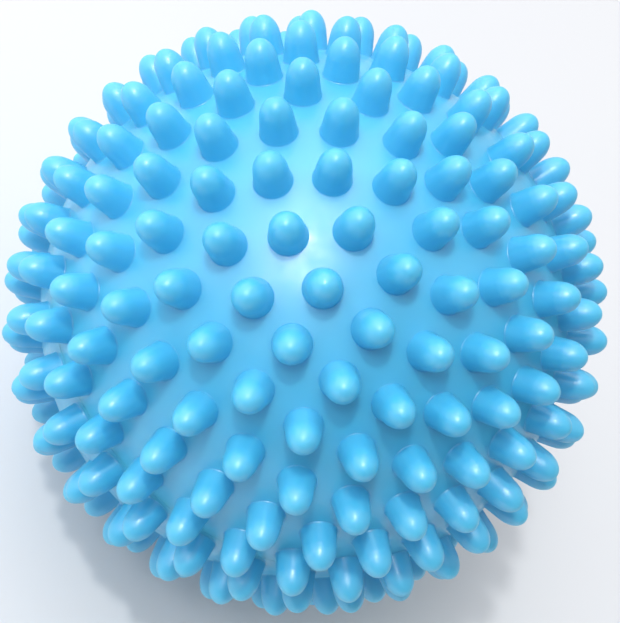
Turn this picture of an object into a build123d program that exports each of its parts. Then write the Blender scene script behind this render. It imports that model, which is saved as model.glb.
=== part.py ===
from build123d import *
import os
from math import acos, atan2, cos, degrees, hypot, radians, sin, sqrt

# A dryer ball: a hollow ball of soft PVC, moulded as two half shells that carry the nubs and are
# bonded round the middle, with an air valve in the place of one nub: a seat bonded into the wall
# and a plug that pulls out of it. Millimetres. The origin is the ball's centre and +Z is the
# moulding axis, through the nub on the upper pole. Azimuths are degrees from -Y towards +X.

# The ball
TIP_RADIUS = 35.0             # from the centre to the end of every nub
WALL = 3.0                    # thickness of the shell

# A nub: a short finger with a slight draft, a long round end and a small flare at its foot
NUB_LENGTH = 4.3              # how far it stands out of the shell
NUB_FOOT_RADIUS = 1.92        # where the side meets the shell
NUB_END_RADIUS = 1.73         # of the round end, which is half of an ellipse
NUB_END_LENGTH = 2.5
NUB_FLARE = 0.1               # how far the flare reaches up and out from the foot
NUB_ROOT_DEPTH = 0.9          # how deep the nub runs into the wall

# Rings of nubs, counted from the pole to the parting line
RING_STEP = 10.65             # angle between neighbouring rings, seen from the centre
RING_COUNTS = (6, 12, 17, 23, 26, 29, 31, 32)
RING_STARTS = (27.0, 17.0, -2.0, 3.5, 4.5, -0.5, 0.5, 1.5)
LOWER_TURN = -180.0 / RING_COUNTS[-1]    # sets the lower half's nubs between the upper half's

# The bonded joint: a tongue on the upper half in a rebate of the lower half
TONGUE_LENGTH = 2.0
BOND_GAP = 0.05               # left for the cement round the tongue and the valve seat
PARTING_CHAMFER = 0.06        # breaks the outer edge of each half at the parting line

# The air valve, which takes the place of one nub of the upper half
VALVE_RING = 7                # counted from the upper pole
VALVE_NUB = 19                # counted from the ring's first nub, which is 0
HOLE_RADIUS = 1.75            # through the wall
FLANGE_LIP = 1.1              # how far the seat's flange reaches over the hole's edge
FLANGE_THICKNESS = 0.7
LAND_DEPTH = 0.55             # of the flat recess for the flange, below the shell's outside
LAND_CLEARANCE = 0.15         # radial, round the flange
COLLAR_LIP = 0.55             # of the collar on the seat's inner end, which keeps it in the wall
COLLAR_LENGTH = 1.5
COLLAR_CHAMFER = 0.45         # leads the collar in through the hole
BORE_RADIUS = 0.95
PLUG_CLEARANCE = 0.03         # radial, between the plug's shank and the bore
PLUG_SHANK_LENGTH = 5.0
PLUG_TIP_CHAMFER = 0.3
PLUG_HEAD_RADIUS = 1.9
PLUG_HEAD_THICKNESS = 0.75
PLUG_HEAD_ROUND = 0.35
PLUG_NOTCH_RADIUS = 0.4       # fingernail notch in the head's edge

BODY_RADIUS = TIP_RADIUS - NUB_LENGTH
INNER_RADIUS = BODY_RADIUS - WALL
TONGUE_RADIUS = INNER_RADIUS + WALL / 2    # the tongue is half the wall thick
FLANGE_RADIUS = HOLE_RADIUS + FLANGE_LIP
COLLAR_RADIUS = HOLE_RADIUS + COLLAR_LIP
UPPER = 1
LOWER = -1


def outward_plane(ring, azimuth, half):
    """The plane through the centre whose normal runs out along a nub of that ring and azimuth."""
    polar = radians(ring * RING_STEP)
    turn = radians(azimuth)
    outward = (sin(polar) * sin(turn), -sin(polar) * cos(turn), half * cos(polar))
    return Plane(origin=(0, 0, 0), z_dir=outward)


def ring_azimuth(ring, i):
    """The azimuth of nub i of a ring, before the half that carries it is turned."""
    return RING_STARTS[ring - 1] + i * 360.0 / RING_COUNTS[ring - 1]


def nub_places(half, turn, left_out=None):
    """One place for each nub of a half, from its pole to the parting line."""
    places = [Location(outward_plane(0, 0, half))]
    for ring, count in enumerate(RING_COUNTS, start=1):
        for i in range(count):
            if (ring, i) != left_out:
                places.append(Location(outward_plane(ring, ring_azimuth(ring, i) + turn, half)))
    return places


# One nub, standing on +Z at its distance from the centre: both halves carry copies of it. Its side
# is straight and runs smoothly into the elliptical end. Squashing that end to a circle gives the
# angle round the ellipse at which a line from the foot touches it.
end_height = TIP_RADIUS - NUB_END_LENGTH
squashed_rise = (end_height - BODY_RADIUS) * NUB_END_RADIUS / NUB_END_LENGTH
foot_angle = atan2(squashed_rise, NUB_FOOT_RADIUS)
end_angle = acos(NUB_END_RADIUS / hypot(NUB_FOOT_RADIUS, squashed_rise)) - foot_angle
end_x = NUB_END_RADIUS * cos(end_angle)
end_y = end_height + NUB_END_LENGTH * sin(end_angle)
draft = atan2(NUB_FOOT_RADIUS - end_x, end_y - BODY_RADIUS)
flare_top = (NUB_FOOT_RADIUS - NUB_FLARE * sin(draft), BODY_RADIUS + NUB_FLARE * cos(draft))
flare_radius = NUB_FOOT_RADIUS + NUB_FLARE
flare_foot = (flare_radius, sqrt(BODY_RADIUS**2 - flare_radius**2) - NUB_FLARE / 4)
root_height = BODY_RADIUS - NUB_ROOT_DEPTH

with BuildPart() as nub:
    with BuildSketch(Plane.XZ):
        with BuildLine():
            Polyline(flare_foot, (flare_radius, root_height), (0, root_height), (0, TIP_RADIUS))
            EllipticalCenterArc(
                (0, end_height),
                NUB_END_RADIUS,
                NUB_END_LENGTH,
                degrees(end_angle),
                arc_size=90 - degrees(end_angle),
            )
            Line((end_x, end_y), flare_top)
            TangentArc(flare_top, flare_foot, tangent=(sin(draft), -cos(draft)))
        make_face()
    revolve(axis=Axis.Z)


# The valve's axis runs out through the place of the nub that it replaces
valve_plane = outward_plane(VALVE_RING, ring_azimuth(VALVE_RING, VALVE_NUB), UPPER)
valve_axis = Axis((0, 0, 0), valve_plane.z_dir)
valve_section = Plane(origin=(0, 0, 0), x_dir=valve_plane.x_dir, z_dir=-valve_plane.y_dir)
land_height = BODY_RADIUS - LAND_DEPTH
flange_top = land_height + FLANGE_THICKNESS


with BuildPart() as upper_half_shell:
    with BuildSketch(Plane.XZ):
        with BuildLine():
            CenterArc((0, 0), BODY_RADIUS, 0, 90)
            Line((0, BODY_RADIUS), (0, INNER_RADIUS))
            CenterArc((0, 0), INNER_RADIUS, 0, 90)
            Polyline(
                (INNER_RADIUS, 0),
                (INNER_RADIUS, -TONGUE_LENGTH),
                (TONGUE_RADIUS, -TONGUE_LENGTH),
                (TONGUE_RADIUS, 0),
                (BODY_RADIUS, 0),
            )
        make_face()
    revolve(axis=Axis.Z)
    rim = upper_half_shell.edges().filter_by_position(Axis.Z, 0, 0).sort_by(SortBy.RADIUS)[-1]
    chamfer(rim, length=PARTING_CHAMFER)
    with Locations(*nub_places(UPPER, 0.0, left_out=(VALVE_RING, VALVE_NUB))):
        add(nub.part)
    with BuildSketch(valve_plane.offset(land_height)):
        Circle(FLANGE_RADIUS + LAND_CLEARANCE)
    extrude(amount=TIP_RADIUS - land_height, mode=Mode.SUBTRACT)
    with BuildSketch(valve_plane.offset(land_height)):
        Circle(HOLE_RADIUS)
    extrude(amount=-2 * WALL, mode=Mode.SUBTRACT)
upper_half_shell.part.label = "upper_half_shell"


rebate_radius = TONGUE_RADIUS + BOND_GAP
rebate_depth = TONGUE_LENGTH + BOND_GAP
rebate_angle = degrees(atan2(-rebate_depth, sqrt(INNER_RADIUS**2 - rebate_depth**2)))

with BuildPart() as lower_half_shell:
    with BuildSketch(Plane.XZ):
        with BuildLine():
            CenterArc((0, 0), BODY_RADIUS, -90, 90)
            inner_wall = CenterArc((0, 0), INNER_RADIUS, -90, 90 + rebate_angle)
            Polyline(
                inner_wall @ 1,
                (rebate_radius, -rebate_depth),
                (rebate_radius, 0),
                (BODY_RADIUS, 0),
            )
            Line((0, -BODY_RADIUS), (0, -INNER_RADIUS))
        make_face()
    revolve(axis=Axis.Z)
    rim = lower_half_shell.edges().filter_by_position(Axis.Z, 0, 0).sort_by(SortBy.RADIUS)[-1]
    chamfer(rim, length=PARTING_CHAMFER)
    with Locations(*nub_places(LOWER, LOWER_TURN)):
        add(nub.part)
lower_half_shell.part.label = "lower_half_shell"


neck_radius = HOLE_RADIUS - BOND_GAP
collar_top = sqrt(INNER_RADIUS**2 - COLLAR_RADIUS**2) - BOND_GAP
collar_end = collar_top - COLLAR_LENGTH

with BuildPart() as valve_seat:
    with BuildSketch(valve_section):
        with BuildLine():
            Polyline(
                (BORE_RADIUS, flange_top),
                (FLANGE_RADIUS, flange_top),
                (FLANGE_RADIUS, land_height),
                (neck_radius, land_height),
                (neck_radius, collar_top),
                (COLLAR_RADIUS, collar_top),
                (COLLAR_RADIUS, collar_end + COLLAR_CHAMFER),
                (COLLAR_RADIUS - COLLAR_CHAMFER, collar_end),
                (BORE_RADIUS, collar_end),
                close=True,
            )
        make_face()
    revolve(axis=valve_axis)
valve_seat.part.label = "valve_seat"


shank_radius = BORE_RADIUS - PLUG_CLEARANCE
shank_end = flange_top - PLUG_SHANK_LENGTH
head_top = flange_top + PLUG_HEAD_THICKNESS

with BuildPart() as valve_plug:
    with BuildSketch(valve_section):
        with BuildLine():
            Polyline(
                (0, head_top),
                (PLUG_HEAD_RADIUS, head_top),
                (PLUG_HEAD_RADIUS, flange_top),
                (shank_radius, flange_top),
                (shank_radius, shank_end + PLUG_TIP_CHAMFER),
                (shank_radius - PLUG_TIP_CHAMFER, shank_end),
                (0, shank_end),
                close=True,
            )
        make_face()
    revolve(axis=valve_axis)
    head_edge = valve_plug.edges().filter_by(GeomType.CIRCLE).sort_by(valve_axis)[-1]
    fillet(head_edge, radius=PLUG_HEAD_ROUND)
    with BuildSketch(valve_plane.offset(flange_top)):
        with Locations((PLUG_HEAD_RADIUS, 0)):
            Circle(PLUG_NOTCH_RADIUS)
    extrude(amount=PLUG_HEAD_THICKNESS, mode=Mode.SUBTRACT)
valve_plug.part.label = "valve_plug"


os.makedirs("parts", exist_ok=True)
export_step(upper_half_shell.part, "parts/upper_half_shell.step")
export_step(lower_half_shell.part, "parts/lower_half_shell.step")
export_step(valve_seat.part, "parts/valve_seat.step")
export_step(valve_plug.part, "parts/valve_plug.step")
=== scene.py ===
import bmesh
import bpy
from mathutils import Matrix, Vector


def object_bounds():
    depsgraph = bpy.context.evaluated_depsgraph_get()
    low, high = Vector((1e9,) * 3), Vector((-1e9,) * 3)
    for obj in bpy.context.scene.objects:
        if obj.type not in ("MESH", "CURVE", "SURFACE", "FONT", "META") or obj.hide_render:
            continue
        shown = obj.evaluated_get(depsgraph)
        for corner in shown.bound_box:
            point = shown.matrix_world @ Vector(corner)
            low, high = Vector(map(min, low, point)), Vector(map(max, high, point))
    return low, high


# A dryer ball of soft PVC on a pale floor, lit by four lamps in a pale tent. Metres, in the CAD
# model's frame: the origin is the ball's centre, and +Z runs out through the upper pole's nub.
MM = 0.001

# Directions in that frame, as the photograph was taken
TOWARDS_CAMERA = Vector((-0.001, -0.607, 0.795)).normalized()
UP_IN_PHOTO = Vector((-0.727, 0.546, 0.416))

# The camera, with its lens and sensor in millimetres as Blender takes them
CAMERA_DISTANCE = 146.0 * MM
CAMERA_LENS = 71.1
CAMERA_SENSOR = 36.0
CAMERA_NEAR = 0.01
CAMERA_FAR = 20.0
AIM_RIGHT = 0.55 * MM         # from the ball's centre to the point that it looks at
AIM_UP = 0.22 * MM

# Tints of the lamps
PLAIN_WHITE = (1.0, 1.0, 1.0)
WARM_WHITE = (1.0, 0.92, 0.955)

# The lamps: name, direction as right, up and back of the camera, distance, width and height,
# power in watts, tint
LAMPS = (
    ("ceiling", (-0.24, 0.81, 0.53), 1.60, (3.2, 2.4), 20.0, WARM_WHITE),
    ("key_lamp", (0.03, 0.49, 0.871), 1.20, (0.06, 0.06), 4.2, PLAIN_WHITE),
    ("top_softbox", (0.02, 0.64, 0.77), 0.80, (0.90, 0.24), 1.2, WARM_WHITE),
    ("camera_softbox", (-0.055, 0.284, 0.957), 0.70, (0.12, 0.10), 0.60, PLAIN_WHITE),
)

# The tent round the ball. It is dim on the side that is down in the photograph and bright on the
# other, and passes from one to the other between these two points along UP_IN_PHOTO.
TENT_COLOUR = (0.96, 0.98, 1.0, 1.0)
TENT_DIM = 0.25
TENT_DIM_END = -0.6
TENT_BRIGHT = 0.78
TENT_BRIGHT_END = 0.5

# The floor, just below the lowest nub
FLOOR_GAP = 0.05 * MM
FLOOR_REACH = 3.0             # from its middle to its edges
FLOOR_SEGMENTS = 8
FLOOR_ROUGHNESS = 0.75

# Colours, linear: each surface is cloudy between a deep and a pale one
FLOOR_DEEP = (0.70, 0.72, 0.735, 1.0)
FLOOR_PALE = (0.72, 0.74, 0.75, 1.0)
SHELL_DEEP = (0.056, 0.470, 0.735, 1.0)
SHELL_PALE = (0.080, 0.515, 0.785, 1.0)
# A paler colour painted on the nub ends: a painted highlight for the light that falls on them
TIP_HIGHLIGHT_COLOUR = (0.120, 0.580, 0.840, 1.0)
SEAT_DEEP = (0.040, 0.410, 0.690, 1.0)
SEAT_PALE = (0.062, 0.460, 0.750, 1.0)
PLUG_DEEP = (0.520, 0.700, 0.800, 1.0)
PLUG_PALE = (0.600, 0.760, 0.850, 1.0)

# Roughness of the soft PVC. Rubbing spreads it a little to both sides.
SHELL_ROUGHNESS = 0.41
SEAT_ROUGHNESS = 0.30
PLUG_ROUGHNESS = 0.26
RUB_SMOOTHER = 0.05
RUB_ROUGHER = 0.08

# How much of the pale colour the small flecks in the PVC take
FLECK_SHARE = 0.20

# The nub ends are painted a little paler, a painted highlight that stands for the light falling on
# them, and are more worn. Depths are below the ends of the nubs.
TIP_HIGHLIGHT_DEPTH = 2.8 * MM
TIP_HIGHLIGHT_SHARE = 0.15
WEAR_DEPTH = 0.6 * MM
FULL_WEAR_DEPTH = 0.05 * MM
WEAR_ROUGHER = 0.10

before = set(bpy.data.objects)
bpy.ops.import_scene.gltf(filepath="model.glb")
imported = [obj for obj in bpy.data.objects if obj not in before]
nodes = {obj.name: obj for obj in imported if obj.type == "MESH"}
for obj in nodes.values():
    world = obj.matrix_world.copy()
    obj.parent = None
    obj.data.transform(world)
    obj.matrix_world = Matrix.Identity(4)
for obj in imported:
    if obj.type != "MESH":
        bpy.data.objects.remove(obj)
cad_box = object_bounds()
tip_radius = cad_box[1].z
scene = bpy.context.scene
scene.view_settings.view_transform = "Standard"
scene.view_settings.look = "None"


# ---------------------------------------------------------------- camera


def camera_turn():
    """The camera's rotation, whose columns are its right, up and back."""
    right = UP_IN_PHOTO.cross(TOWARDS_CAMERA).normalized()
    up = TOWARDS_CAMERA.cross(right)
    return Matrix((right, up, TOWARDS_CAMERA)).transposed()


def make_camera():
    turn = camera_turn()
    data = bpy.data.cameras.new("camera")
    data.lens = CAMERA_LENS
    data.sensor_width = CAMERA_SENSOR
    data.clip_start = CAMERA_NEAR
    data.clip_end = CAMERA_FAR
    camera = bpy.data.objects.new("camera", data)
    scene.collection.objects.link(camera)
    place = turn @ Vector((AIM_RIGHT, AIM_UP, CAMERA_DISTANCE))
    camera.matrix_world = Matrix.Translation(place) @ turn.to_4x4()
    scene.camera = camera


make_camera()


# ---------------------------------------------------------------- node trees


# The Mix node's sockets for colours. It has more of the same names for numbers and vectors.
MIX_FACTOR = 0
MIX_A = 6
MIX_B = 7
MIX_RESULT = 2


class Nodes:
    """A short way to write a node tree."""

    def __init__(self, tree):
        self.tree = tree

    def add(self, kind, **settings):
        node = self.tree.nodes.new(kind)
        for key, value in settings.items():
            setattr(node, key, value)
        return node

    def join(self, a, b):
        self.tree.links.new(a, b)

    def noise(self, vector, scale, detail, roughness=0.5):
        node = self.add("ShaderNodeTexNoise")
        node.inputs["Scale"].default_value = scale
        node.inputs["Detail"].default_value = detail
        node.inputs["Roughness"].default_value = roughness
        self.join(vector, node.inputs["Vector"])
        return node.outputs["Fac"]

    def between(self, value, low, high, out_low=0.0, out_high=1.0):
        """A smooth rise from out_low to out_high as the value goes from low to high."""
        node = self.add("ShaderNodeMapRange", interpolation_type="SMOOTHSTEP")
        for name, number in (
            ("From Min", low),
            ("From Max", high),
            ("To Min", out_low),
            ("To Max", out_high),
        ):
            node.inputs[name].default_value = number
        self.join(value, node.inputs["Value"])
        return node.outputs["Result"]

    def math(self, operation, a, b):
        node = self.add("ShaderNodeMath", operation=operation)
        self.join(a, node.inputs[0])
        self.join(b, node.inputs[1])
        return node.outputs["Value"]

    def mix(self, factor, a, b):
        """A mix of a and b, each of which is a colour or another node's output."""
        node = self.add("ShaderNodeMix", data_type="RGBA")
        self.join(factor, node.inputs[MIX_FACTOR])
        for socket, value in ((MIX_A, a), (MIX_B, b)):
            if isinstance(value, tuple):
                node.inputs[socket].default_value = value
            else:
                self.join(value, node.inputs[socket])
        return node.outputs[MIX_RESULT]

    def bump(self, height, strength, distance, below=None):
        node = self.add("ShaderNodeBump")
        node.inputs["Strength"].default_value = strength
        node.inputs["Distance"].default_value = distance
        self.join(height, node.inputs["Height"])
        if below is not None:
            self.join(below, node.inputs["Normal"])
        return node.outputs["Normal"]


def start_material(name):
    """A new material, its nodes and the shader that they feed."""
    material = bpy.data.materials.new(name)
    material.use_nodes = True
    n = Nodes(material.node_tree)
    n.tree.nodes.clear()
    output = n.add("ShaderNodeOutputMaterial")
    shader = n.add("ShaderNodeBsdfPrincipled")
    n.join(shader.outputs["BSDF"], output.inputs["Surface"])
    return material, n, shader


# ---------------------------------------------------------------- materials of the ball


def soft_pvc(name, deep, pale, roughness, tip_highlight=None):
    """Soft moulded PVC: cloudy, slightly see-through, glossy with a faint moulded grain."""
    material, n, shader = start_material(name)
    place = n.add("ShaderNodeTexCoord").outputs["Object"]
    cloud = n.between(n.noise(place, scale=70.0, detail=3.0), low=0.32, high=0.68)
    colour = n.mix(cloud, deep, pale)
    fleck = n.between(
        n.noise(place, scale=2600.0, detail=1.0), low=0.70, high=0.80, out_high=FLECK_SHARE
    )
    colour = n.mix(fleck, colour, pale)
    rub = n.noise(place, scale=420.0, detail=4.0, roughness=0.6)
    rough = n.between(
        rub, low=0.30, high=0.72, out_low=roughness - RUB_SMOOTHER, out_high=roughness + RUB_ROUGHER
    )
    if tip_highlight is not None:
        length = n.add("ShaderNodeVectorMath", operation="LENGTH")
        n.join(place, length.inputs[0])
        radius = length.outputs["Value"]
        # Painted highlight: the nub ends are mixed towards the paler colour, which stands for light
        # on them; the rougher wear below is real
        painted_tip_highlight = n.between(radius, tip_radius - TIP_HIGHLIGHT_DEPTH, tip_radius, out_high=TIP_HIGHLIGHT_SHARE)
        colour = n.mix(painted_tip_highlight, colour, tip_highlight)
        worn = n.between(
            radius, tip_radius - WEAR_DEPTH, tip_radius - FULL_WEAR_DEPTH, out_high=WEAR_ROUGHER
        )
        rough = n.math("ADD", rough, n.math("MULTIPLY", worn, rub))
    n.join(colour, shader.inputs["Base Color"])
    n.join(rough, shader.inputs["Roughness"])
    fine = n.noise(place, scale=1500.0, detail=2.0)
    coarse = n.noise(place, scale=190.0, detail=1.0)
    grain = n.bump(fine, strength=0.05, distance=0.05 * MM)
    ripple = n.bump(coarse, strength=0.10, distance=0.25 * MM, below=grain)
    n.join(ripple, shader.inputs["Normal"])
    for socket, value in (
        ("IOR", 1.5),
        ("Specular IOR Level", 1.0),
        ("Subsurface Weight", 0.60),
        ("Subsurface Radius", (0.5, 0.9, 1.0)),
        ("Subsurface Scale", 2.4 * MM),
        ("Coat Weight", 0.15),
        ("Coat Roughness", 0.14),
    ):
        shader.inputs[socket].default_value = value
    return material


def dress(node, material):
    mesh = nodes[node].data
    mesh.materials.clear()
    mesh.materials.append(material)


shell_pvc = soft_pvc("shell_pvc", SHELL_DEEP, SHELL_PALE, SHELL_ROUGHNESS, TIP_HIGHLIGHT_COLOUR)
dress("upper_half_shell", shell_pvc)
dress("lower_half_shell", shell_pvc)
dress("valve_seat", soft_pvc("valve_seat_pvc", SEAT_DEEP, SEAT_PALE, SEAT_ROUGHNESS))
dress("valve_plug", soft_pvc("valve_plug_pvc", PLUG_DEEP, PLUG_PALE, PLUG_ROUGHNESS))


# ---------------------------------------------------------------- floor, lamps and tent


def floor_material():
    material, n, shader = start_material("pale_floor")
    place = n.add("ShaderNodeTexCoord").outputs["Object"]
    tone = n.between(n.noise(place, scale=6.0, detail=3.0), low=0.3, high=0.7)
    n.join(n.mix(tone, FLOOR_DEEP, FLOOR_PALE), shader.inputs["Base Color"])
    shader.inputs["Roughness"].default_value = FLOOR_ROUGHNESS
    return material


def make_floor(height):
    mesh = bpy.data.meshes.new("floor")
    build = bmesh.new()
    bmesh.ops.create_grid(
        build, x_segments=FLOOR_SEGMENTS, y_segments=FLOOR_SEGMENTS, size=FLOOR_REACH
    )
    build.to_mesh(mesh)
    build.free()
    mesh.materials.append(floor_material())
    floor = bpy.data.objects.new("floor", mesh)
    floor.location = (0.0, 0.0, height)
    scene.collection.objects.link(floor)


def make_lamp(name, direction, distance, size, power, tint):
    """An area light that faces the ball from a direction given in the camera's axes."""
    way = (camera_turn() @ Vector(direction)).normalized()
    data = bpy.data.lights.new(name, "AREA")
    data.shape = "RECTANGLE"
    data.size, data.size_y = size
    data.energy = power
    data.color = tint
    light = bpy.data.objects.new(name, data)
    light.location = way * distance
    light.rotation_mode = "QUATERNION"
    light.rotation_quaternion = way.to_track_quat("Z", "Y")
    light.visible_camera = False
    scene.collection.objects.link(light)


def make_tent():
    world = bpy.data.worlds.new("tent")
    scene.world = world
    world.use_nodes = True
    n = Nodes(world.node_tree)
    background = n.tree.nodes["Background"]
    background.inputs["Color"].default_value = TENT_COLOUR
    along = n.add("ShaderNodeVectorMath", operation="DOT_PRODUCT")
    along.inputs[1].default_value = UP_IN_PHOTO
    n.join(n.add("ShaderNodeTexCoord").outputs["Generated"], along.inputs[0])
    strength = n.between(
        along.outputs["Value"], TENT_DIM_END, TENT_BRIGHT_END, TENT_DIM, TENT_BRIGHT
    )
    n.join(strength, background.inputs["Strength"])


make_floor(cad_box[0].z - FLOOR_GAP)
for lamp in LAMPS:
    make_lamp(*lamp)
make_tent()
